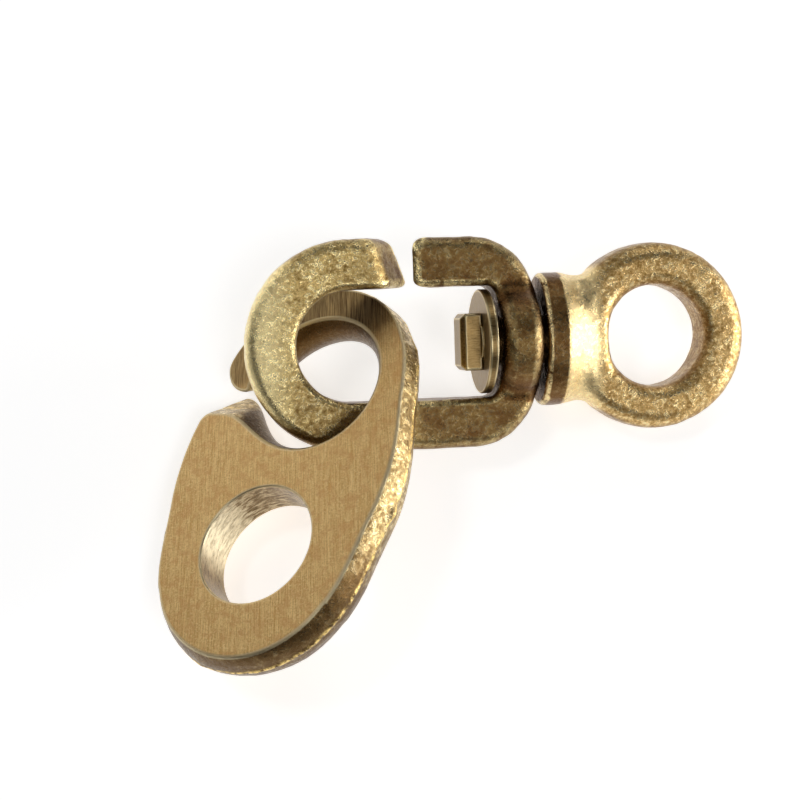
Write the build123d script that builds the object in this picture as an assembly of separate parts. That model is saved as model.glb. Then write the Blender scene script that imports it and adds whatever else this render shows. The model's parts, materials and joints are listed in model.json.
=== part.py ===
from build123d import *
from math import radians, tan
import os

# A pair of interlinked brass snap links: a swivel clip and a plain flat clip.
# Lengths are in millimetres and angles in degrees. The pair lies on the plane
# Z = 0, and the swivel clip runs along +X from its open bow towards its eye.

# ---- hook body: a flat bow closed by a yoke, origin at the bow's centre
BOW_INNER_R = 6.75
BOW_OUTER_R = 12.8
BODY_T = 5.2
BODY_EDGE_R = 1.1
YOKE_INNER_X = 17.6
YOKE_OUTER_X = 22.6
YOKE_INNER_CORNER_R = 1.4
YOKE_OUTER_CORNER_R = 8.0
BOSS_R = 6.7
BOSS_EDGE_R = 0.7
SLIT_SKEW = 36.5            # lean of the slit's sides from the plate's normal
SLIT_GAP = 3.2
SLIT_X = 7.0

# ---- swivel: headed pin, loose washer, and the eye that the pin holds
PIN_R = 3.0
RUNNING_GAP = 0.08          # radial gap of the pin in the yoke and in the washer
HEAD_FACE_X = 15.6
HEAD_W = 6.9
HEAD_T = 4.6
HEAD_L = 2.5
HEAD_CHAMFER = 0.6
WASHER_X = 15.75
WASHER_R = 6.35
WASHER_T = 1.1
WASHER_EDGE_R = 0.15
COLLAR_X = 23.1
COLLAR_L = 2.6
COLLAR_H = 16.4
COLLAR_T = 11.6
COLLAR_CHAMFER = 2.0
NECK_END_X = 30.1
NECK_CHAMFER = 1.2
SOCKET_L = 5.5
EYE_X = 37.6
EYE_R = 11.5
EYE_HOLE_R = 6.2
EYE_T = 6.6
EYE_EDGE_R = 1.2

# ---- plain clip: a flat plate, origin on its long axis beside its hook's eye
CLIP_T = 5.4
CLIP_EDGE_R = 0.8
HOOK_EYE_X = 0.55
HOOK_EYE_Y = 0.15
HOOK_EYE_R = 8.0            # at the middle of the plate
HOOK_EYE_LAND = 1.0         # height of the straight middle of the eye's wall
HOOK_EYE_FLARE = 1.05       # how much wider the eye is at the two faces
HOOK_OUTER_R = 13.1
HOOK_Y = 1.15
SIDE_BULGE = 2.25
FOOT_R = 13.2
FOOT_Y = -22.4
HOLE_R = 7.25
HOLE_Y = -21.05
CLIP_SLIT_SKEW = 40.0
CLIP_SLIT_GAP = 3.05
CLIP_SLIT_Y = -0.7

# ---- how the plain clip hangs in the bow, seen from the bow's centre
LINK_POS = (-3.9, -5.71, -1.62)
LINK_TURN = -23.6           # its long axis turns this far about the bow's normal
LINK_PITCH = -24.4          # then its hook end dips
LINK_ROLL = -45.1           # then it rolls about its long axis

# ---- how the linked pair lies on its plane
REST_ROLL = 22.9
REST_PITCH = 8.8
REST_YAW = 2.3


def skew_slab(gap, depth, skew):
    """A slab along Y whose sides lean towards -X as they rise along Z."""
    reach = 20.0
    lean = reach * tan(radians(skew))
    outline = Polyline(
        (-gap / 2 - lean, reach),
        (gap / 2 - lean, reach),
        (gap / 2 + lean, -reach),
        (-gap / 2 + lean, -reach),
        close=True,
    )
    return extrude(Plane.XZ * make_face(outline), depth / 2, both=True)


def rod_x(radius, start, end):
    """A cylinder along X between two stations."""
    return Pos((start + end) / 2, 0, 0) * Rot(Y=90) * Cylinder(radius, end - start)


def round_rims(plate, radius):
    """Round the outline edges of a flat plate on its two faces."""
    levels = plate.edges().group_by(Axis.Z)
    return fillet(levels[0] + levels[-1], radius)


def d_outline(radius, end_x, corner_r):
    """A half circle at the origin run out to a straight end with round corners."""
    sketch = Circle(radius) + Pos(end_x / 2, 0) * Rectangle(end_x, 2 * radius)
    corners = sketch.vertices().group_by(Axis.X)[-1]
    return fillet(corners, corner_r)


def hook_body():
    outer = d_outline(BOW_OUTER_R, YOKE_OUTER_X, YOKE_OUTER_CORNER_R)
    inner = d_outline(BOW_INNER_R, YOKE_INNER_X, YOKE_INNER_CORNER_R)
    bow = round_rims(extrude(outer - inner, BODY_T / 2, both=True), BODY_EDGE_R)
    boss = rod_x(BOSS_R, YOKE_INNER_X, YOKE_OUTER_X)
    boss = fillet(boss.edges().filter_by(GeomType.CIRCLE), BOSS_EDGE_R)
    bore = rod_x(PIN_R + RUNNING_GAP, YOKE_INNER_X - 1, YOKE_OUTER_X + 1)
    slit = Pos(SLIT_X, BOW_OUTER_R, 0) * skew_slab(SLIT_GAP, 2 * BOW_INNER_R, SLIT_SKEW)
    return bow + boss - bore - slit


def swivel_pin():
    shank = rod_x(PIN_R, HEAD_FACE_X, COLLAR_X + SOCKET_L)
    head = Box(HEAD_L, HEAD_W, HEAD_T)
    head = chamfer(head.faces().sort_by(Axis.X)[0].edges(), HEAD_CHAMFER)
    return shank + Pos(HEAD_FACE_X - HEAD_L / 2, 0, 0) * head


def retaining_washer():
    disc = rod_x(WASHER_R, WASHER_X, WASHER_X + WASHER_T)
    disc = fillet(disc.edges().filter_by(GeomType.CIRCLE), WASHER_EDGE_R)
    return disc - rod_x(PIN_R + RUNNING_GAP, WASHER_X - 1, WASHER_X + WASHER_T + 1)


def swivel_eye():
    ring = Pos(EYE_X, 0, 0) * Cylinder(EYE_R, EYE_T)
    ring = fillet(ring.edges().filter_by(GeomType.CIRCLE), EYE_EDGE_R)
    block = chamfer(Rectangle(COLLAR_H, COLLAR_T).vertices(), COLLAR_CHAMFER)
    waist = chamfer(Rectangle(COLLAR_H, EYE_T).vertices(), NECK_CHAMFER)
    collar_end = COLLAR_X + COLLAR_L
    collar = extrude(Plane.YZ.offset(COLLAR_X) * block, COLLAR_L)
    neck = loft([Plane.YZ.offset(collar_end) * block, Plane.YZ.offset(NECK_END_X) * waist])
    hole = Pos(EYE_X, 0, 0) * Cylinder(EYE_HOLE_R, 4 * EYE_T)
    socket = rod_x(PIN_R, COLLAR_X - 1, COLLAR_X + SOCKET_L)
    return ring + collar + neck - hole - socket


def clip_outline():
    """Hook arc, two bulging sides and a round foot, all meeting end to end."""
    side_x = (HOOK_OUTER_R + FOOT_R) / 2 + SIDE_BULGE
    side_y = (HOOK_Y + FOOT_Y) / 2
    hook_right = (HOOK_OUTER_R, HOOK_Y)
    hook_left = (-HOOK_OUTER_R, HOOK_Y)
    foot_right = (FOOT_R, FOOT_Y)
    foot_left = (-FOOT_R, FOOT_Y)
    return make_face(Curve() + [
        ThreePointArc(hook_right, (0, HOOK_Y + HOOK_OUTER_R), hook_left),
        ThreePointArc(hook_left, (-side_x, side_y), foot_left),
        ThreePointArc(foot_left, (0, FOOT_Y - FOOT_R), foot_right),
        ThreePointArc(foot_right, (side_x, side_y), hook_right),
    ])


def hook_eye():
    """The hook's opening: straight in the middle of the plate, flared at both faces."""
    flare_h = (CLIP_T - HOOK_EYE_LAND) / 2
    flare = Cone(HOOK_EYE_R, HOOK_EYE_R + HOOK_EYE_FLARE, flare_h)
    upper = Pos(0, 0, (HOOK_EYE_LAND + flare_h) / 2) * flare
    lower = mirror(upper, Plane.XY)
    return Pos(HOOK_EYE_X, HOOK_EYE_Y) * (Cylinder(HOOK_EYE_R, CLIP_T) + upper + lower)


def plain_clip():
    plate = round_rims(extrude(clip_outline(), CLIP_T / 2, both=True), CLIP_EDGE_R)
    hole = Pos(0, HOLE_Y) * Cylinder(HOLE_R, 2 * CLIP_T)
    slab = Rot(Z=90) * skew_slab(CLIP_SLIT_GAP, HOOK_OUTER_R, CLIP_SLIT_SKEW)
    slit = Pos(-HOOK_OUTER_R, CLIP_SLIT_Y) * slab
    return plate - hook_eye() - hole - slit


link = Pos(*LINK_POS) * Rot(Z=LINK_TURN) * Rot(X=LINK_PITCH) * Rot(Y=LINK_ROLL)
rest = Rot(X=REST_ROLL) * Rot(Y=REST_PITCH) * Rot(Z=REST_YAW)
nodes = {
    "hook_body": rest * hook_body(),
    "swivel_pin": rest * swivel_pin(),
    "retaining_washer": rest * retaining_washer(),
    "swivel_eye": rest * swivel_eye(),
    "plain_clip": rest * link * plain_clip(),
}

# The origin is the middle of the pair's footprint, on the plane that it lies on.
box = Compound(list(nodes.values())).bounding_box()
centre = box.center()
settle = Pos(-centre.X, -centre.Y, -box.min.Z)
print("settled by", -centre.X, -centre.Y, -box.min.Z)

os.makedirs("parts", exist_ok=True)
for name, shape in nodes.items():
    export_step(settle * shape, f"parts/{name}.step")
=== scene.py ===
import json
import math

import bpy
import numpy as np
from mathutils import Matrix, Vector

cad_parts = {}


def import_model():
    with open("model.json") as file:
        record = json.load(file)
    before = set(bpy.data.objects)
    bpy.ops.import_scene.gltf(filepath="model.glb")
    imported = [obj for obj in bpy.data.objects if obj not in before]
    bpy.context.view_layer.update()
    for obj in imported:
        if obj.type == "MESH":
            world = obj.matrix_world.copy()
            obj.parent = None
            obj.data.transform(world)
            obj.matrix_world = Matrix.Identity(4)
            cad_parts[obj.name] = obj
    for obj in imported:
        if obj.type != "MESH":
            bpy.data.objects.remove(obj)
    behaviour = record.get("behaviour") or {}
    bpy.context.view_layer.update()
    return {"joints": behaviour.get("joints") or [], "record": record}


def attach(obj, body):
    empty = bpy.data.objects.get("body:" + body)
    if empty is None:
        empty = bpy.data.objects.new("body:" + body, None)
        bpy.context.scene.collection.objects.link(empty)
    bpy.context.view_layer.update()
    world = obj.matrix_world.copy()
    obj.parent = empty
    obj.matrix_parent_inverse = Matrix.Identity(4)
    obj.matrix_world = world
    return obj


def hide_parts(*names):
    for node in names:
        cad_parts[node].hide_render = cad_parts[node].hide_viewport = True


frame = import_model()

# Shapes are written in millimetres, each in the frame of its own clip, as signed distances
# (negative inside). They are meshed there and then carried into the row frame in metres.
MM = 0.001
CELL = 0.15
FINE_CELL = 0.12
# How many cells the grid starts before a shape. The fraction keeps its planes off flat walls.
GRID_MARGIN = 2.37
SNAP_ROUNDS = 4
NO_CUT = -9.0  # a distance so far inside that it cuts nothing away

# ------------------------------------------------------------------ sizes, mm
BOW_INNER_R = 6.75
BOW_OUTER_R = 12.8
BOW_INNER_EDGE_R = 0.9
BOW_OUTER_EDGE_R = 1.3
BOW_DRAFT = 0.25
BODY_HALF_T = 2.6
YOKE_INNER_X = 17.6
YOKE_OUTER_X = 22.6
YOKE_INNER_CORNER_R = 1.4
YOKE_OUTER_CORNER_R = 8.0
BOSS_R = 6.7
BOSS_EDGE_R = 1.7
BOSS_FILLET = 1.1
BOW_SLIT_X = 7.0
BOW_SLIT_GAP = 3.2
BOW_SLIT_SKEW = math.radians(36.5)
BOW_TIP_SLANT = math.radians(20.0)
BOW_TIP_EDGE_R = 1.3
TIP_WEAR = 0.25

PIN_R = 3.0
RUNNING_GAP = 0.08
HEAD_FACE_X = 15.6
HEAD_W = 6.9
HEAD_T = 4.6
HEAD_L = 2.5
HEAD_EDGE_R = 0.3
HEAD_CHAMFER = 0.6
HEAD_OVERLAP = 0.06
WASHER_X = 15.75
WASHER_R = 6.35
WASHER_T = 1.1
WASHER_EDGE_R = 0.18

COLLAR_X = 23.1
COLLAR_L = 2.6
COLLAR_HALF_H = 8.2
COLLAR_HALF_T = 5.8
COLLAR_CROWN_R = 10.0
COLLAR_EDGE_R = 1.2
COLLAR_END_EDGE_R = 0.55
NECK_END_X = 30.1
NECK_TAPER = 0.7
NECK_FILLET = 1.5
SOCKET_L = 5.5
EYE_X = 37.6
EYE_R = 11.5
EYE_EDGE_R = 1.7
EYE_DRAFT = 0.5
EYE_HALF_T = 3.3
EYE_HOLE_R = 6.2
EYE_HOLE_EDGE_R = 1.6
EYE_HOLE_DRAFT = 0.175

CLIP_HALF_T = 2.7
CLIP_EDGE_R = 0.26
CLIP_DRAFT = 0.86
HOOK_EYE_X = 0.55
HOOK_EYE_Y = 0.15
HOOK_EYE_R = 8.0
HOOK_EYE_FLARE = 1.05
HOOK_OUTER_R = 13.1
HOOK_Y = 1.15
SIDE_BULGE = 2.25
SIDE_FILLET = 2.5
FOOT_R = 13.2
FOOT_Y = -22.4
HOLE_R = 7.25
HOLE_Y = -21.05
HOLE_EDGE_R = 0.22
ARM_START_Y = -15.0
ARM_FULL_Y = -1.0
ARM_INSET = 0.4
ARM_BACK_DRAFT = 0.8
CLIP_SLIT_Y = -0.7
CLIP_SLIT_GAP = 3.05
CLIP_SLIT_SKEW = math.radians(40.0)
CLIP_TIP_R = 3.5
CLIP_TIP_TAPER = 0.9
CLIP_TIP_TAPER_L = 5.0
CLIP_TIP_TAPER_X = -6.0
CLIP_TIP_INNER_R = 0.6
CLIP_HORN_R = 3.0
CLIP_HORN_OUTER_R = 1.0
CLIP_HORN_BACK_CUT = 0.65
CLIP_HORN_BACK_R = 1.5
SAW_TURN = math.radians(-18.4)

# Layers of unevenness on a surface, each its height in mm, its width in mm and its seed.
CAST_LAYERS = ((0.055, 3.3, 1), (0.035, 1.3, 2), (0.022, 0.55, 3))
CLIP_SIDE_LAYERS = ((0.07, 2.6, 12), (0.035, 0.9, 13))
CLIP_LAYERS = ((0.006, 0.6, 14),)
TURNED_LAYERS = ((0.012, 0.8, 21),)
SEAM_HEIGHT = 0.08
SEAM_LAYERS = ((0.10, 1.3, 11),)
SEAM_W = 0.26
FLASH_HEIGHT = 0.35
FLASH_Y = -15.0
FLASH_Z = 0.2

# ------------------------------------------------------------------ colours, linear
# The light, middle and dark tones of each cast surface.
AGED_TONES = ((1.00, 0.85, 0.45), (0.78, 0.555, 0.21), (0.26, 0.15, 0.042))
BRIGHT_TONES = ((1.00, 0.80, 0.42), (0.67, 0.43, 0.16), (0.28, 0.15, 0.042))
CLIP_TONES = ((0.90, 0.74, 0.42), (0.56, 0.40, 0.17), (0.22, 0.13, 0.05))
# Brown for cast brass: real patina in hollows and blotches, and painted shade on side walls and the
# collar's front.
PATINA_AND_SHADE = (0.15, 0.075, 0.025)
# Brown for the clip's sides: real tarnish blotches, and painted shade at the foot and in the hook's
# eye.
TARNISH_AND_SHADE = (0.12, 0.065, 0.022)
# Painted glints along the clip's seam ridge.
SEAM_GLINT_GOLD = (0.95, 0.68, 0.24)
# Painted highlight on the drilled hole's wall.
PAINTED_WALL_HIGHLIGHT = (0.95, 0.82, 0.56)
CLIP_WORN_EDGE = (1.0, 0.86, 0.55)
TURNED_WORN_EDGE = (0.82, 0.68, 0.40)


# ------------------------------------------------------------------ frames
def unit(v):
    v = np.array(v, float)
    return v / np.linalg.norm(v)


def record_mount(name):
    found = next(m for m in frame["record"]["mounts"] if m["name"] == name)
    return np.array(found["pos_m"]) / MM, unit(found["axis"])


def record_joint(name):
    found = next(j for j in frame["joints"] if j["name"] == name)
    return np.array(found["pos_m"]) / MM, unit(found["axis"])


def swivel_clip_frame():
    """Columns X, Y, Z and the origin of the swivel clip: the bow's centre."""
    eye_at, up = record_mount("swivel_eye_hole")
    x = record_joint("swivel_spin")[1]
    z = unit(up - x * (up @ x))
    return np.stack([x, np.cross(z, x), z], 1), eye_at - EYE_X * x


def plain_clip_frame():
    """Columns X, Y, Z and the origin of the plain clip, which lies on its long axis."""
    hole_at, z = record_mount("clip_hole")
    eye_at = record_joint("clip_swing")[0]
    along = unit(eye_at - hole_at)
    lean = math.atan2(HOOK_EYE_X, HOOK_EYE_Y - HOLE_Y)
    y = along * math.cos(lean) - np.cross(along, z) * math.sin(lean)
    return np.stack([np.cross(y, z), y, z], 1), hole_at - HOLE_Y * y


# ------------------------------------------------------------------ noise
def lattice(ix, iy, iz, seed):
    """A fixed scrambled number from -1 to 1 at each point of a lattice."""
    h = (ix * 374761393 + iy * 668265263 + iz * 2147483647 + seed * 1274126177) & 0xFFFFFFFF
    h = ((h ^ (h >> 13)) * 1274126177) & 0xFFFFFFFF
    return ((h ^ (h >> 16)) & 0xFFFF) / 32767.5 - 1.0


def noise(p, width, seed):
    """Smooth value noise from -1 to 1, with features about width mm wide."""
    q = p / width
    base = np.floor(q).astype(np.int64)
    f = q - base
    f = f * f * (3 - 2 * f)
    total = np.zeros(len(p))
    for dx in (0, 1):
        for dy in (0, 1):
            for dz in (0, 1):
                weight = (
                    np.abs(1 - dx - f[:, 0]) * np.abs(1 - dy - f[:, 1]) * np.abs(1 - dz - f[:, 2])
                )
                total += weight * lattice(base[:, 0] + dx, base[:, 1] + dy, base[:, 2] + dz, seed)
    return total


def uneven(points, layers):
    """The sum of some layers of noise."""
    return sum(height * noise(points, width, seed) for height, width, seed in layers)


# ------------------------------------------------------------------ distances
def smooth_max(a, b, k):
    h = np.maximum(k - np.abs(a - b), 0) / k
    return np.maximum(a, b) + h * h * k / 4


def smooth_min(a, b, k):
    return -smooth_max(-a, -b, k)


def rounded_corner(a, b, r):
    """Where two faces a and b meet, with the edge between them rounded to r."""
    u, v = a + r, b + r
    outside = np.hypot(np.maximum(u, 0), np.maximum(v, 0))
    return outside + np.minimum(np.maximum(u, v), 0) - r


def smooth_step(t):
    """From 0 to 1 as t goes from 0 to 1, easing in and out."""
    t = np.clip(t, 0, 1)
    return t * t * (3 - 2 * t)


def disc(x, y, r):
    return np.hypot(x, y) - r


def rounded_rect(x, y, half_x, half_y, r):
    return rounded_corner(np.abs(x) - half_x, np.abs(y) - half_y, r)


def d_shape(x, y, radius, end_x, corner_r):
    """A half circle at the origin run out to a straight end with round corners."""
    run = rounded_corner(x - end_x, np.abs(y) - radius, corner_r)
    return np.where(x < 0, disc(x, y, radius), run)


def bow_tips(x, y, z):
    """What the bow's skewed slit leaves: the left tip is cut on a slant, the right one square."""
    lean = x - BOW_SLIT_X + z * math.tan(BOW_SLIT_SKEW)
    slant = (y - (BOW_INNER_R + BOW_OUTER_R) / 2) * math.tan(BOW_TIP_SLANT)
    half_gap = BOW_SLIT_GAP / 2 + TIP_WEAR
    left_tip = (lean + slant + half_gap) * math.cos(BOW_SLIT_SKEW)
    right_tip = (half_gap - lean) * math.cos(BOW_SLIT_SKEW)
    tips = np.where(lean < 0, left_tip, right_tip)
    return np.where(y > 0, tips, NO_CUT)


def hook_body_distance(p):
    """A slit D-shaped bow whose straight side swells into a round boss for the pin."""
    x, y, z = p.T
    faces = np.abs(z) - BODY_HALF_T
    draft = BOW_DRAFT * (z / BODY_HALF_T) ** 2
    outer = d_shape(x, y, BOW_OUTER_R, YOKE_OUTER_X, YOKE_OUTER_CORNER_R) + draft
    inner = d_shape(x, y, BOW_INNER_R, YOKE_INNER_X, YOKE_INNER_CORNER_R)
    bar = rounded_corner(outer, faces, BOW_OUTER_EDGE_R)
    bar = np.maximum(bar, rounded_corner(-inner, faces, BOW_INNER_EDGE_R))
    ends = np.abs(x - (YOKE_INNER_X + YOKE_OUTER_X) / 2) - (YOKE_OUTER_X - YOKE_INNER_X) / 2
    boss = rounded_corner(disc(y, z, BOSS_R), ends, BOSS_EDGE_R)
    body = np.maximum(smooth_min(bar, boss, BOSS_FILLET), -inner)
    body = smooth_max(body, bow_tips(x, y, z), BOW_TIP_EDGE_R)
    bore = np.where(x > YOKE_INNER_X - 2, PIN_R + RUNNING_GAP - np.hypot(y, z), NO_CUT)
    return np.maximum(body, bore)


def swivel_eye_distance(p):
    """A round eye on a crowned collar; a flat neck slopes from the collar to the eye."""
    x, y, z = p.T
    r = np.hypot(x - EYE_X, y)
    faces = np.abs(z) - EYE_HALF_T
    level = (z / EYE_HALF_T) ** 2
    hole = EYE_HOLE_R + EYE_HOLE_DRAFT * level - r
    ring = rounded_corner(r - EYE_R + EYE_DRAFT * level, faces, EYE_EDGE_R)
    ring = np.maximum(ring, rounded_corner(hole, faces, EYE_HOLE_EDGE_R))
    along = (x - COLLAR_X - COLLAR_L) / (NECK_END_X - COLLAR_X - COLLAR_L)
    ridge = np.clip(along, 0, 1)
    fall = 0.35 * smooth_step(along * 0.9 + 0.05) + 0.65 * ridge
    half_t = COLLAR_HALF_T + (EYE_HALF_T - COLLAR_HALF_T) * fall
    crown = disc(y, np.abs(z) - half_t + COLLAR_CROWN_R, COLLAR_CROWN_R)
    half_h = COLLAR_HALF_H - NECK_TAPER * ridge
    block = rounded_corner(crown, np.abs(y) - half_h, COLLAR_EDGE_R)
    ends = np.maximum(COLLAR_X - x, x - NECK_END_X - 1)
    block = np.maximum(rounded_corner(block, ends, COLLAR_END_EDGE_R), hole)
    body = smooth_min(ring, block, NECK_FILLET)
    socket = np.maximum(disc(y, z, PIN_R), x - COLLAR_X - SOCKET_L)
    return np.maximum(body, -socket)


def clip_outline(x, y):
    """Hook arc and foot arc, joined by two long bulging sides."""
    hook = disc(x, y - HOOK_Y, HOOK_OUTER_R)
    foot = disc(x, y - FOOT_Y, FOOT_R)
    half = (HOOK_Y - FOOT_Y) / 2
    mid_y = (HOOK_Y + FOOT_Y) / 2
    side_r = (half ** 2 + SIDE_BULGE ** 2) / (2 * SIDE_BULGE)
    side_x = (HOOK_OUTER_R + FOOT_R) / 2 + SIDE_BULGE - side_r
    side = disc(np.abs(x) - side_x, y - mid_y, side_r)
    side = np.maximum(side, np.abs(y - mid_y) - half - 4)
    return smooth_min(np.minimum(hook, foot), side, SIDE_FILLET)


def clip_arm_outline(x, y, z):
    """The outline towards the hook: drawn in a little, upright in front and sloping at the back."""
    arm = smooth_step((y - ARM_START_Y) / (ARM_FULL_Y - ARM_START_Y))
    draft = np.where(z > 0, CLIP_DRAFT - ARM_INSET * arm, CLIP_DRAFT + ARM_BACK_DRAFT * arm)
    return clip_outline(x, y) + draft * (z / CLIP_HALF_T) ** 2 + ARM_INSET * arm


def clip_walls(x, y, z):
    """The clip's side walls: the arm round the hook's eye, the tip and horn beside its slit."""
    level = (z / CLIP_HALF_T) ** 2
    arm_outline = clip_arm_outline(x, y, z)
    foot_outline = clip_outline(x, y) + CLIP_DRAFT * level
    eye = HOOK_EYE_R + HOOK_EYE_FLARE * level - np.hypot(x - HOOK_EYE_X, y - HOOK_EYE_Y)
    lean = (y - CLIP_SLIT_Y + z * math.tan(CLIP_SLIT_SKEW)) * math.cos(CLIP_SLIT_SKEW)
    half_gap = CLIP_SLIT_GAP / 2 * math.cos(CLIP_SLIT_SKEW)
    back = np.clip(-z / CLIP_HALF_T, 0, 1)
    to_tip = half_gap - lean
    to_horn = lean + half_gap - CLIP_HORN_BACK_CUT * back

    taper = smooth_step(1 - lean / CLIP_TIP_TAPER_L) * smooth_step(x / CLIP_TIP_TAPER_X)
    tip = rounded_corner(arm_outline + CLIP_TIP_TAPER * taper, to_tip, CLIP_TIP_R)
    tip = np.maximum(tip, rounded_corner(eye, to_tip, CLIP_TIP_INNER_R))
    horn = rounded_corner(foot_outline, to_horn, CLIP_HORN_OUTER_R)
    horn_r = CLIP_HORN_R + CLIP_HORN_BACK_R * back
    horn = np.maximum(horn, rounded_corner(eye, to_horn, horn_r))
    left = np.where(lean > 0, tip, horn)
    return np.where(x < 0, left, np.maximum(arm_outline, eye))


def plain_clip_distance(p):
    """A flat plate with sawn faces: a slit hook at one end, a drilled hole at the other."""
    x, y, z = p.T
    faces = np.abs(z) - CLIP_HALF_T
    body = rounded_corner(clip_walls(x, y, z), faces, CLIP_EDGE_R)
    hole = HOLE_R - np.hypot(x, y - HOLE_Y)
    return np.maximum(body, rounded_corner(hole, faces, HOLE_EDGE_R))


def swivel_pin_distance(p):
    """A round shank with a flat-sided, chamfered head."""
    x, y, z = p.T
    side = rounded_rect(y, z, HEAD_W / 2, HEAD_T / 2, HEAD_EDGE_R)
    front = HEAD_FACE_X - HEAD_L - x
    chamfer = (side + front + HEAD_CHAMFER) * math.sqrt(0.5)
    back = x - HEAD_FACE_X - HEAD_OVERLAP
    head = np.maximum(np.maximum(side, front), np.maximum(chamfer, back))
    ends = np.maximum(HEAD_FACE_X - HEAD_OVERLAP - x, x - COLLAR_X - SOCKET_L)
    shank = np.maximum(disc(y, z, PIN_R), ends)
    return np.minimum(head, shank)


def washer_distance(p):
    """A flat ring, loose on the pin."""
    x, y, z = p.T
    r = np.hypot(y, z)
    faces = np.abs(x - WASHER_X - WASHER_T / 2) - WASHER_T / 2
    outside = rounded_corner(r - WASHER_R, faces, WASHER_EDGE_R)
    return np.maximum(outside, PIN_R + RUNNING_GAP - r)


# ------------------------------------------------------------------ meshing
def sampled(distance, axes):
    """The distance at every point of a grid, worked out slab by slab."""
    values = np.empty(tuple(len(a) for a in axes))
    gy, gz = np.meshgrid(axes[1], axes[2], indexing="ij")
    for i, gx in enumerate(axes[0]):
        slab = np.stack([np.full(gy.size, gx), gy.ravel(), gz.ravel()], 1)
        values[i] = distance(slab).reshape(gy.shape)
    return values


def cells_round(edges, axis):
    """The four grid cells round each edge along an axis, in turn about it."""
    first, second = [k for k in range(3) if k != axis]
    ring = []
    for s, t in ((0, 0), (1, 0), (1, 1), (0, 1)):
        cell_at = edges.copy()
        cell_at[:, first] -= s
        cell_at[:, second] -= t
        ring.append(tuple(cell_at.T))
    return ring


def surface_net(distance, low, high, cell):
    """Mesh the zero level of a distance as quads, one vertex in each cell that it crosses."""
    axes = [np.arange(l - GRID_MARGIN * cell, h + 3 * cell, cell) for l, h in zip(low, high)]
    values = sampled(distance, axes)
    cells = tuple(n - 1 for n in values.shape)
    total = np.zeros(cells + (3,))
    count = np.zeros(cells)
    rings = []
    for axis in range(3):
        length = values.shape[axis]
        starts = np.take(values, range(length - 1), axis)
        ends = np.take(values, range(1, length), axis)
        crossed = np.argwhere((starts < 0) != (ends < 0))
        va, vb = starts[tuple(crossed.T)], ends[tuple(crossed.T)]
        at = crossed.astype(float)
        at[:, axis] += va / (va - vb)
        ring = cells_round(crossed, axis)
        for cell_at in ring:
            np.add.at(total, cell_at, at)
            np.add.at(count, cell_at, 1)
        rings.append((ring, (va < 0) == (axis == 1)))
    used = tuple(np.argwhere(count > 0).T)
    index = np.full(cells, -1)
    index[used] = np.arange(len(used[0]))
    points = total[used] / count[used][:, None]
    points = points * cell + np.array([a[0] for a in axes])
    quads = []
    for ring, flip in rings:
        quad = np.stack([index[cell_at] for cell_at in ring], 1)
        quad[flip] = quad[flip][:, ::-1]
        quads.append(quad)
    return points, np.concatenate(quads)


def gradient(distance, points, step=0.02):
    """The outward direction of a distance at some points."""
    parts = []
    for axis in range(3):
        shift = np.zeros(3)
        shift[axis] = step
        parts.append(distance(points + shift) - distance(points - shift))
    g = np.stack(parts, 1)
    return g / np.maximum(np.linalg.norm(g, axis=1), 1e-9)[:, None]


def bend(distance, points, reach=0.32):
    """How sharply the surface turns, per mm: above zero on an edge, below it in a corner."""
    total = -6 * distance(points)
    for axis in range(3):
        shift = np.zeros(3)
        shift[axis] = reach
        total += distance(points + shift) + distance(points - shift)
    return total / reach ** 2


def snapped(distance, points, cell):
    """The points moved along the normals until they lie on the surface."""
    for _ in range(SNAP_ROUNDS):
        step = np.clip(distance(points), -cell / 2, cell / 2)
        points = points - step[:, None] * gradient(distance, points)
    return points


def quad_mesh(name, points, quads):
    """A smooth-shaded mesh of quads."""
    mesh = bpy.data.meshes.new(name)
    mesh.vertices.add(len(points))
    mesh.vertices.foreach_set("co", points.astype(np.float32).ravel())
    mesh.loops.add(quads.size)
    mesh.loops.foreach_set("vertex_index", quads.astype(np.int32).ravel())
    mesh.polygons.add(len(quads))
    mesh.polygons.foreach_set("loop_start", np.arange(0, quads.size, 4, dtype=np.int32))
    mesh.polygons.foreach_set("use_smooth", np.ones(len(quads), dtype=bool))
    mesh.update(calc_edges=True)
    mesh.validate()
    return mesh


def store(mesh, name, kind, field, values):
    """Keep a value for each vertex, for the materials to read."""
    attribute = mesh.attributes.new(name, kind, "POINT")
    attribute.data.foreach_set(field, values.astype(np.float32).ravel())


def sculpt(name, distance, low, high, place, relief, cell):
    """Mesh a distance, add relief (mm along the normal) and put the piece in its place."""
    axes, origin = place
    points, quads = surface_net(distance, low, high, cell)
    points = snapped(distance, points, cell)
    normal = gradient(distance, points)
    edge = bend(distance, points)
    points = points + relief(points, normal)[:, None] * normal
    mesh = quad_mesh(name, (points @ axes.T + origin) * MM, quads)
    store(mesh, "local_mm", "FLOAT_VECTOR", "vector", points)
    store(mesh, "local_normal", "FLOAT_VECTOR", "vector", normal)
    store(mesh, "edge", "FLOAT", "value", edge)
    piece = bpy.data.objects.new(name, mesh)
    bpy.context.scene.collection.objects.link(piece)
    return piece


# ------------------------------------------------------------------ relief
def cast_relief(points, normal):
    """Shallow dents, waviness and grain of a sand casting."""
    return uneven(points, CAST_LAYERS)


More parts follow.
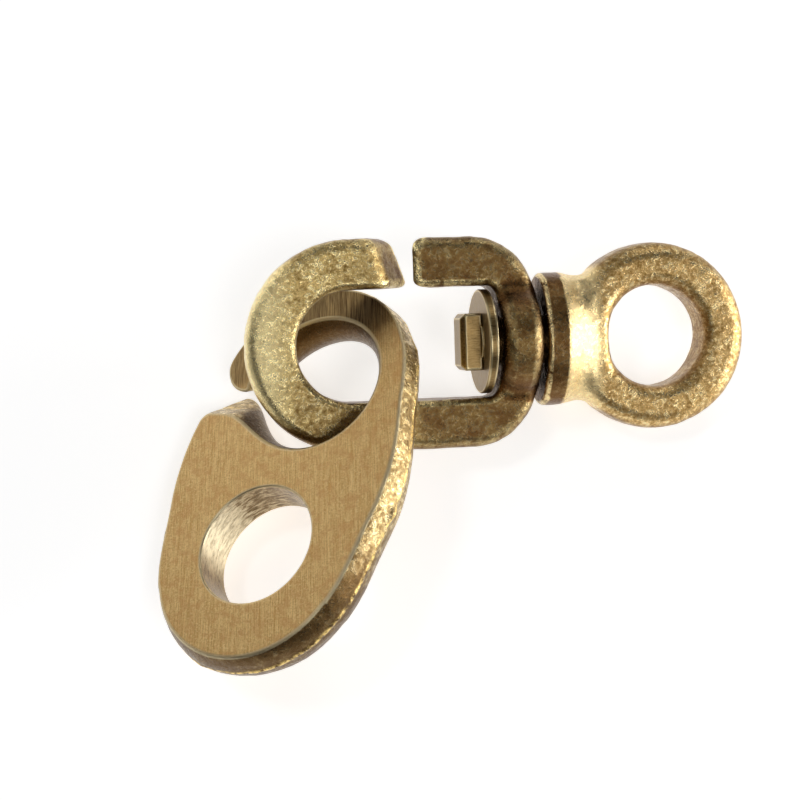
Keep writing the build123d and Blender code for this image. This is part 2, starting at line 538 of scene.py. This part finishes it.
def clip_relief(points, normal):
    """Flat sawn faces; the cast sides are wavy, with a ragged seam and a spot of flash."""
    x, y, z = points.T
    side = smooth_step(1.3 - np.abs(normal[:, 2]) * 1.5)
    cast = side * smooth_step((clip_outline(x, y) + 2.5) / 0.5)
    seam = np.exp(-(z / SEAM_W) ** 2) * (SEAM_HEIGHT + uneven(points, SEAM_LAYERS))
    flash = np.exp(-(y - FLASH_Y) ** 2 - ((z - FLASH_Z) / 0.5) ** 2) * smooth_step((x - 12) / 2)
    wave = uneven(points, CLIP_SIDE_LAYERS)
    return cast * (seam + wave + FLASH_HEIGHT * flash) + uneven(points, CLIP_LAYERS)


def turned_relief(points, normal):
    """The faint unevenness of a turned part."""
    return uneven(points, TURNED_LAYERS)


# ------------------------------------------------------------------ materials
class Nodes:
    """Short names for building a material's node tree."""

    def __init__(self, name):
        self.material = bpy.data.materials.new(name)
        self.material.use_nodes = True
        self.tree = self.material.node_tree
        self.shader = self.tree.nodes["Principled BSDF"]
        self.local = self.attribute("local_mm", "Vector")
        self.edge = self.attribute("edge", "Fac")
        self.x, self.y, self.z = self.add("ShaderNodeSeparateXYZ", {0: self.local}).outputs

    def add(self, kind, inputs=None, **settings):
        node = self.tree.nodes.new(kind)
        for key, value in settings.items():
            setattr(node, key, value)
        for key, value in (inputs or {}).items():
            self.set(node.inputs[key], value)
        return node

    def set(self, socket, value):
        if isinstance(value, bpy.types.NodeSocket):
            self.tree.links.new(value, socket)
        else:
            socket.default_value = value

    def attribute(self, name, output):
        return self.add("ShaderNodeAttribute", attribute_name=name).outputs[output]

    def flatness(self):
        """How squarely the surface faces along the clip's Z: 1 on its faces, 0 on its sides."""
        normal = self.attribute("local_normal", "Vector")
        return self.math("ABSOLUTE", self.add("ShaderNodeSeparateXYZ", {0: normal}).outputs[2])

    def vector_math(self, operation, inputs, output=0):
        return self.add("ShaderNodeVectorMath", inputs, operation=operation).outputs[output]

    def noise(self, scale, detail, rough, stretch=(1, 1, 1), turn=0.0):
        """Noise in the clip's own millimetres, turned about Z and then stretched."""
        inputs = {"Vector": self.local, "Angle": turn}
        turned = self.add("ShaderNodeVectorRotate", inputs, rotation_type="Z_AXIS").outputs[0]
        vector = self.vector_math("MULTIPLY", {0: turned, 1: stretch})
        inputs = {"Vector": vector, "Scale": scale, "Detail": detail, "Roughness": rough}
        return self.add("ShaderNodeTexNoise", inputs).outputs["Fac"]

    def distance_from(self, x, y):
        """Distance from the line through (x, y) along Z."""
        away = self.vector_math("SUBTRACT", {0: self.local, 1: (x, y, 0)})
        away = self.vector_math("MULTIPLY", {0: away, 1: (1, 1, 0)})
        return self.vector_math("LENGTH", {0: away}, "Value")

    def ramp(self, value, *stops):
        """A colour ramp through (position, colour) stops."""
        node = self.add("ShaderNodeValToRGB", {"Fac": value})
        ramp = node.color_ramp
        while len(ramp.elements) < len(stops):
            ramp.elements.new(0.5)
        for element, (at, colour) in zip(ramp.elements, stops):
            element.position = at
            element.color = (*colour, 1)
        return node.outputs["Color"]

    def span(self, value, low, high, to_low=0.0, to_high=1.0):
        """Carry low..high to to_low..to_high, held at its ends; low may be above high."""
        inputs = {
            "Value": value, "From Min": low, "From Max": high,
            "To Min": to_low, "To Max": to_high,
        }
        return self.add("ShaderNodeMapRange", inputs).outputs["Result"]

    def math(self, operation, a, b=0.0):
        return self.add("ShaderNodeMath", {0: a, 1: b}, operation=operation).outputs[0]

    def sum(self, first, *others):
        for other in others:
            first = self.math("ADD", first, other)
        return first

    def product(self, first, *others):
        for other in others:
            first = self.math("MULTIPLY", first, other)
        return first

    def clamped(self, value):
        return self.math("MINIMUM", self.math("MAXIMUM", value, 0.0), 1.0)

    def mix(self, fac, a, b):
        """From colour a to colour b."""
        node = self.add("ShaderNodeMix", {0: fac}, data_type="RGBA")
        for index, value in ((6, a), (7, b)):
            self.set(node.inputs[index], (*value, 1) if isinstance(value, tuple) else value)
        return node.outputs[2]

    def mix_values(self, fac, a, b):
        return self.add("ShaderNodeMix", {0: fac, 2: a, 3: b}).outputs[0]

    def mix_vectors(self, fac, a, b):
        return self.add("ShaderNodeMix", {0: fac, 4: a, 5: b}, data_type="VECTOR").outputs[1]

    def bump(self, height, strength, distance, normal=None):
        inputs = {"Height": height, "Strength": strength, "Distance": distance * MM}
        if normal is not None:
            inputs["Normal"] = normal
        return self.add("ShaderNodeBump", inputs).outputs["Normal"]

    def finish(self, colour, roughness, normal):
        self.set(self.shader.inputs["Base Color"], colour)
        self.shader.inputs["Metallic"].default_value = 1.0
        self.set(self.shader.inputs["Roughness"], roughness)
        self.set(self.shader.inputs["Normal"], normal)
        return self.material


def cast_surface(n, tones):
    """Grainy cast brass: its colour, its roughness and its bumped normal."""
    light, mid, dark = tones
    grain = n.noise(1.7, 6, 0.74)
    speck = n.noise(3.8, 3, 0.65)
    tone = n.ramp(grain, (0.36, dark), (0.5, mid), (0.62, light))
    tone = n.mix(n.span(speck, 0.58, 0.70, 0, 0.6), tone, light)
    tone = n.mix(n.span(speck, 0.42, 0.30, 0, 0.75), tone, dark)
    rough = n.span(grain, 0.35, 0.65, 0.38, 0.20)
    normal = n.bump(speck, 0.5, 0.05, n.bump(grain, 0.6, 0.16))
    return tone, rough, normal


def cast_brass(name, tones, fade, step, painted_highlight_zone):
    """Cast brass with a brown patina in its hollows and blotches, worn off its edges.

    The side walls get painted shade. fade and step say where more brown sets in and how much,
    along a slant and along X: on the bow this only makes it darker towards its lower right and
    its yoke; on the swivel eye it is painted shade on the collar's front. The last argument is two
    spans of X, and a painted highlight is laid where both have set in.
    """
    n = Nodes(name)
    light = tones[0]
    tone, rough, normal = cast_surface(n, tones)
    # Painted highlight: the light tone laid over a band along X, on the bow's far left and the
    # eye's neck slope.
    painted_highlight = n.product(n.span(n.x, *painted_highlight_zone[:2]), n.span(n.x, *painted_highlight_zone[2:]))
    tone = n.mix(n.product(painted_highlight, 0.65), tone, light)
    slant = n.math("SUBTRACT", n.x, n.product(n.y, 0.65))
    blotches = n.span(n.noise(0.5, 5, 0.7), 0.40, 0.66, -0.1, 0.15)
    corners = n.span(n.edge, -0.2, -1.0, 0.0, 0.6)
    # Painted shade: the side walls are made darker than the faces.
    walls = n.span(n.flatness(), 0.80, 0.40, 0.0, 0.7)
    # The brown laid on is patina in hollows and blotches, and painted shade on the walls and,
    # through the X span, on the collar's front.
    patina_and_shade = n.sum(
        n.span(slant, *fade[:2], 0, fade[2]), n.span(n.x, *step[:2], 0, step[2]),
        blotches, corners, walls,
    )
    worn = n.product(n.span(n.edge, 0.6, 1.5), n.span(n.noise(0.8, 4, 0.7), 0.38, 0.54))
    patina_and_shade = n.math("SUBTRACT", n.math("SUBTRACT", patina_and_shade, worn), painted_highlight)
    colour = n.mix(n.clamped(patina_and_shade), tone, PATINA_AND_SHADE)
    colour = n.mix(n.product(worn, 0.7), colour, light)
    rough = n.math("SUBTRACT", rough, n.product(worn, 0.08))
    return n.finish(colour, rough, normal)


def clip_side(n):
    """The clip's cast sides: tarnish, painted shade at the foot and in the hook's eye, painted
    glints on the seam.
    """
    tone, rough, normal = cast_surface(n, CLIP_TONES)
    from_eye = n.distance_from(HOOK_EYE_X, HOOK_EYE_Y)
    # Painted shade: the sides turn dark brown towards the foot's end.
    foot = n.span(n.y, -15, -25, 0, 0.85)
    blotches = n.span(n.noise(0.5, 3, 0.6), 0.45, 0.6, 0, 0.4)
    # Blotches are tarnish; the foot term and the hook's eye wall, under the bow, are painted shade.
    tarnish_and_shade = n.sum(foot, blotches, n.span(from_eye, 10.4, 9.6))
    tone = n.mix(n.math("MINIMUM", tarnish_and_shade, 0.95), tone, TARNISH_AND_SHADE)
    # Painted glints: gold laid along the seam ridge, broken up by noise.
    seam = n.span(n.math("ABSOLUTE", n.z), 0.40, 0.10)
    broken = n.span(n.noise(1.2, 3, 0.7), 0.42, 0.58)
    seam = n.product(seam, broken, n.span(from_eye, 11.0, 12.5))
    return n.mix(seam, tone, SEAM_GLINT_GOLD), rough, normal


def clip_face(n):
    """The clip's sawn faces: sandy, with fine lines along it, with painted shadow of the bow at the
    hook's top and tip.
    """
    lines = n.noise(3.2, 5, 0.65, stretch=(2.6, 0.09, 1), turn=SAW_TURN)
    fleck = n.noise(4.5, 3, 0.6)
    blot = n.noise(0.9, 5, 0.7)
    tone = n.ramp(lines, (0.38, (0.42, 0.26, 0.09)), (0.62, (0.72, 0.50, 0.22)))
    tone = n.mix(n.span(fleck, 0.46, 0.34, 0, 0.5), tone, (0.32, 0.20, 0.075))
    tone = n.mix(n.span(fleck, 0.54, 0.66, 0, 0.5), tone, (0.78, 0.60, 0.32))
    tone = n.mix(n.span(blot, 0.46, 0.62, 0, 0.6), tone, (0.46, 0.25, 0.09))
    # Painted shadow of the bow: the hook's top face darkened where the bow lies over it.
    painted_bow_shadow = n.product(n.span(n.y, 4.0, 8.5), n.span(n.x, 10.0, 5.0))
    # Painted shade at the tip, which lies under the bow.
    tip = n.product(n.span(n.x, -7.5, -9.5), n.span(n.y, -2.0, 0.0, 0, 0.8))
    shadowed_lines = n.ramp(lines, (0.40, (0.07, 0.04, 0.015)), (0.66, (0.36, 0.25, 0.11)))
    tone = n.mix(n.math("MAXIMUM", painted_bow_shadow, tip), tone, shadowed_lines)
    rough = n.span(lines, 0.3, 0.7, 0.40, 0.54)
    normal = n.bump(lines, 0.35, 0.05, n.bump(fleck, 0.3, 0.05))
    return tone, rough, normal


def clip_hole_wall(n):
    """The drilled hole's wall: fine rings, brown, with a painted highlight patch on its upper left.
    """
    rings = n.noise(1.6, 5, 0.7, stretch=(0.5, 0.5, 2.0))
    tone = n.ramp(rings, (0.36, (0.13, 0.085, 0.04)), (0.64, (0.36, 0.26, 0.14)))
    # Painted highlight: the upper left of the wall brightened, broken by the rings.
    painted_highlight_zone = n.sum(n.span(n.x, -4.5, -7.0, 0, 0.7), n.span(rings, 0.4, 0.6, -0.2, 0.3))
    painted_highlight_zone = n.product(painted_highlight_zone, n.span(n.y, HOLE_Y - 3.5, HOLE_Y - 0.5))
    tone = n.mix(n.math("MAXIMUM", painted_highlight_zone, 0.0), tone, PAINTED_WALL_HIGHLIGHT)
    return tone, n.span(rings, 0.3, 0.7, 0.22, 0.36)


def milled_brass(name):
    """The clip: sawn faces, cast sides and a drilled hole, with edges worn bright."""
    n = Nodes(name)
    side, side_rough, side_normal = clip_side(n)
    face, face_rough, face_normal = clip_face(n)
    wall, wall_rough = clip_hole_wall(n)
    flat = n.span(n.flatness(), 0.80, 0.95)
    drilled = n.span(n.distance_from(0, HOLE_Y), HOLE_R + 0.6, HOLE_R + 0.3)
    worn = n.span(n.edge, 1.2, 2.6, 0.0, 0.5)
    colour = n.mix(flat, n.mix(drilled, side, wall), face)
    colour = n.mix(worn, colour, CLIP_WORN_EDGE)
    rough = n.mix_values(flat, n.mix_values(drilled, side_rough, wall_rough), face_rough)
    rough = n.sum(rough, n.product(worn, 0.20))
    normal = n.mix_vectors(n.math("MAXIMUM", flat, drilled), side_normal, face_normal)
    return n.finish(colour, rough, normal)


def turned_brass(name):
    """The pin and the washer: dark brass with fine turning lines and bright edges."""
    n = Nodes(name)
    fine = n.noise(3.5, 4, 0.6, stretch=(0.35, 2, 2))
    tone = n.ramp(fine, (0.3, (0.14, 0.085, 0.03)), (0.7, (0.38, 0.26, 0.11)))
    worn = n.span(n.edge, 0.8, 2.5, 0.0, 0.7)
    colour = n.mix(worn, tone, TURNED_WORN_EDGE)
    return n.finish(colour, n.span(fine, 0.3, 0.7, 0.26, 0.42), n.bump(fine, 0.35, 0.05))


# ------------------------------------------------------------------ the pieces
def add_piece(name, node, body, distance, low, high, place, relief, material, cell=CELL):
    piece = sculpt(name, distance, low, high, place, relief, cell)
    piece.data.materials.append(material)
    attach(piece, body)
    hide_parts(node)


swivel_place = swivel_clip_frame()
clip_place = plain_clip_frame()
aged = cast_brass(
    "aged_cast_brass", AGED_TONES,
    # Painted highlight on the bow's far left; the bow is darker towards its lower right and its
    # yoke.
    fade=(-10.0, 1.0, 0.45), step=(6.5, 8.5, 0.4), painted_highlight_zone=(-7.0, -10.0, 99.0, 98.0),
)
bright = cast_brass(
    "bright_cast_brass", BRIGHT_TONES,
    # Painted shade on the collar's front and a painted highlight on the neck's slope.
    fade=(40.0, 30.0, 0.0), step=(25.9, 25.5, 0.9), painted_highlight_zone=(25.6, 26.1, 30.8, 29.6),
)
milled = milled_brass("milled_brass")
turned = turned_brass("turned_brass")

add_piece(
    "cast_hook_body", "hook_body", "hook", hook_body_distance,
    (-BOW_OUTER_R, -BOW_OUTER_R, -BOSS_R), (YOKE_OUTER_X, BOW_OUTER_R, BOSS_R),
    swivel_place, cast_relief, aged,
)
add_piece(
    "cast_swivel_eye", "swivel_eye", "swivel", swivel_eye_distance,
    (COLLAR_X, -EYE_R, -COLLAR_HALF_T), (EYE_X + EYE_R, EYE_R, COLLAR_HALF_T),
    swivel_place, cast_relief, bright,
)
add_piece(
    "milled_plain_clip", "plain_clip", "clip", plain_clip_distance,
    (-HOOK_OUTER_R - SIDE_BULGE, FOOT_Y - FOOT_R, -CLIP_HALF_T),
    (HOOK_OUTER_R + SIDE_BULGE, HOOK_OUTER_R + HOOK_Y, CLIP_HALF_T),
    clip_place, clip_relief, milled,
)
add_piece(
    "headed_pin", "swivel_pin", "swivel", swivel_pin_distance,
    (HEAD_FACE_X - HEAD_L, -HEAD_W / 2, -PIN_R), (COLLAR_X + SOCKET_L, HEAD_W / 2, PIN_R),
    swivel_place, turned_relief, turned, FINE_CELL,
)
add_piece(
    "loose_washer", "retaining_washer", "washer", washer_distance,
    (WASHER_X, -WASHER_R, -WASHER_R), (WASHER_X + WASHER_T, WASHER_R, WASHER_R),
    swivel_place, turned_relief, turned, FINE_CELL,
)


# ------------------------------------------------------------------ floor, lights, camera
FLOOR_HALF = 2.5
FLOOR_GLOW = 0.64
WORLD_STRENGTH = 0.06
# Each light's name, its place and its size in metres, and its power in watts.
LIGHTS = (
    ("key", (0.48, -0.01, 0.09), (0.34, 0.16), 1.45),
    ("left", (-0.42, 0.36, 0.20), (0.36, 0.26), 0.52),
    ("top", (0.12, -0.24, 0.44), (0.16, 0.16), 0.42),
    ("top_left", (-0.20, 0.05, 0.46), (0.08, 0.08), 0.22),
    ("back", (0.18, 0.38, 0.26), (0.12, 0.12), 0.25),
)
AIM = Vector((-7.15, 6.97, 8.0)) * MM
CAMERA_AZIMUTH = math.radians(-3.1)
CAMERA_ELEVATION = math.radians(70.16)
CAMERA_ROLL = math.radians(3.245)
CAMERA_DISTANCE = 180.0 * MM
CAMERA_LENS = 66.6


def floor():
    """A white floor that glows a little, so that it shows as plain white."""
    mesh = bpy.data.meshes.new("floor")
    s = FLOOR_HALF
    mesh.from_pydata([(-s, -s, 0), (s, -s, 0), (s, s, 0), (-s, s, 0)], [], [(0, 1, 2, 3)])
    obj = bpy.data.objects.new("floor", mesh)
    bpy.context.scene.collection.objects.link(obj)
    material = bpy.data.materials.new("floor_white")
    material.use_nodes = True
    shader = material.node_tree.nodes["Principled BSDF"]
    shader.inputs["Base Color"].default_value = (0.9, 0.9, 0.9, 1)
    shader.inputs["Roughness"].default_value = 0.9
    shader.inputs["Emission Color"].default_value = (1, 1, 1, 1)
    shader.inputs["Emission Strength"].default_value = FLOOR_GLOW
    obj.data.materials.append(material)


def world():
    """A dim white surround."""
    surround = bpy.data.worlds.new("studio")
    bpy.context.scene.world = surround
    surround.use_nodes = True
    background = surround.node_tree.nodes["Background"]
    background.inputs["Color"].default_value = (1, 1, 1, 1)
    background.inputs["Strength"].default_value = WORLD_STRENGTH


def area_light(name, at, size, power):
    """A rectangular light that faces the origin."""
    data = bpy.data.lights.new(name, "AREA")
    data.shape = "RECTANGLE"
    data.size, data.size_y = size
    data.energy = power
    obj = bpy.data.objects.new(name, data)
    obj.location = at
    obj.rotation_euler = (-Vector(at)).to_track_quat("-Z", "Y").to_euler()
    bpy.context.scene.collection.objects.link(obj)


def camera():
    """A camera above the part, looking steeply down at AIM."""
    data = bpy.data.cameras.new("camera")
    data.lens = CAMERA_LENS
    data.sensor_width = 36.0
    data.clip_start = 0.005
    obj = bpy.data.objects.new("camera", data)
    back = Vector((
        math.sin(CAMERA_AZIMUTH) * math.cos(CAMERA_ELEVATION),
        -math.cos(CAMERA_AZIMUTH) * math.cos(CAMERA_ELEVATION),
        math.sin(CAMERA_ELEVATION),
    ))
    obj.location = AIM + back * CAMERA_DISTANCE
    turn = (-back).to_track_quat("-Z", "Y").to_matrix() @ Matrix.Rotation(CAMERA_ROLL, 3, "Z")
    obj.rotation_euler = turn.to_euler()
    bpy.context.scene.collection.objects.link(obj)
    bpy.context.scene.camera = obj


floor()
world()
for light in LIGHTS:
    area_light(*light)
camera()
bpy.context.scene.view_settings.view_transform = "Standard"
